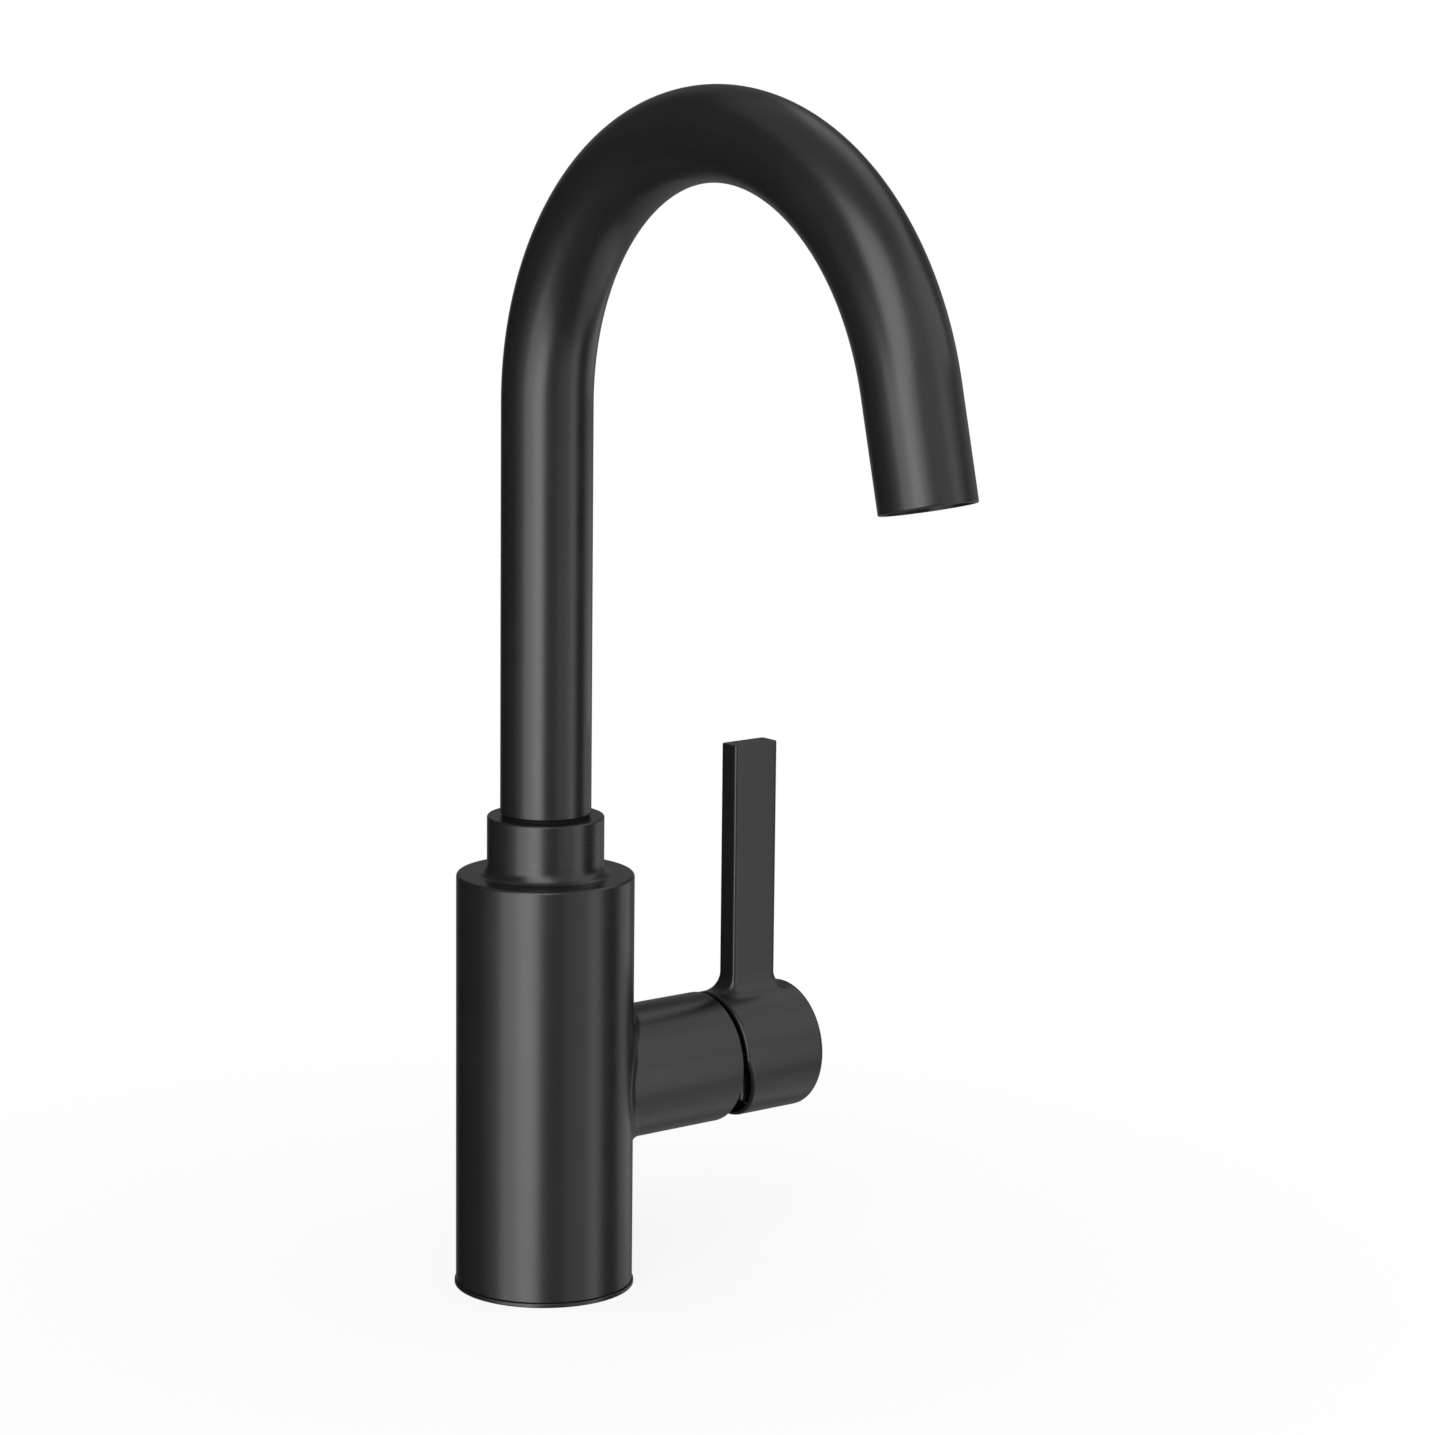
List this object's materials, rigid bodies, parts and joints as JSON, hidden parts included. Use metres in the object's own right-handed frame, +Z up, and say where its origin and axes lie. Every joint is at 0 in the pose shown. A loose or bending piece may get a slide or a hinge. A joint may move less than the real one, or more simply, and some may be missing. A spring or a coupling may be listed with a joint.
{
  "type": "gooseneck bar faucet",
  "caption": "Single-lever bar faucet: a swivelling gooseneck spout on a cylindrical column, with a mixing valve and an upright lever on its side.",
  "frame": {"origin": "centre of the column's underside, in the plane of the deck", "axes": "+Z up along the column, -Y towards the spout's outlet at rest, +X along the valve towards the lever"},
  "size_m": [0.1118, 0.1974, 0.3402],
  "materials": {
    "satin_black": "satin black, powder coated or PVD, very fine brushed lines",
    "black_bearing": "matt acetal",
    "black_dome": "glossy moulded plastic",
    "brass": "machined, uncoated",
    "black_rubber": "moulded rubber",
    "ivory_plastic": "moulded acetal",
    "grey_plastic": "moulded acetal",
    "blue_plastic": "moulded plastic",
    "red_plastic": "moulded plastic",
    "white_ceramic": "lapped ceramic",
    "stainless_steel": "machined stainless steel",
    "dark_screw": "black oxide steel",
    "dark_aerator": "moulded plastic"
  },
  "bodies": {
    "column": {"base_gasket": "black_rubber", "base_ring": "satin_black", "body_shell": "satin_black", "valve_body": "brass", "collar": "satin_black", "upper_bearing": "black_bearing", "lower_bearing": "black_bearing", "cartridge_base": "ivory_plastic", "port_seals": "black_rubber", "cartridge_housing": "ivory_plastic", "fixed_disc": "white_ceramic", "cartridge_nut": "brass", "dome": "black_dome"},
    "cartridge_core": {"rotor": "grey_plastic", "temperature_stop": "red_plastic", "pivot_pin": "stainless_steel"},
    "sliding_disc": {"disc_carrier": "blue_plastic", "moving_disc": "white_ceramic"},
    "lever": {"stem": "stainless_steel", "handle": "satin_black", "handle_set_screw": "dark_screw"},
    "spout": {"spout_tube": "satin_black", "spout_stem": "brass", "spout_o_rings": "black_rubber", "retaining_ring": "stainless_steel", "outlet_insert": "brass", "aerator_gasket": "black_rubber", "flow_regulator": "blue_plastic", "aerator_housing": "dark_aerator", "aerator_screen": "dark_aerator"}
  },
  "joints": [
    {"name": "spout_swivel", "type": "hinge", "parent": "column", "child": "spout", "pos_m": [0, 0, 0.1349], "axis": [0, 0, 1], "continuous": true},
    {"name": "temperature_turn", "type": "hinge", "parent": "column", "child": "cartridge_core", "pos_m": [0.04635, 0, 0.0569], "axis": [1, 0, 0], "range_deg": [-45, 45]},
    {"name": "flow_lift", "type": "hinge", "parent": "cartridge_core", "child": "lever", "pos_m": [0.04635, 0, 0.0569], "axis": [0, 1, 0], "range_deg": [0, 18]},
    {"name": "disc_travel", "type": "slide", "parent": "cartridge_core", "child": "sliding_disc", "axis": [0, 0, 1], "range_m": [0, 0.0038]}
  ],
  "couplings": [
    {"joint": "disc_travel", "follows": "flow_lift", "m_per_rad": 0.012}
  ]
}
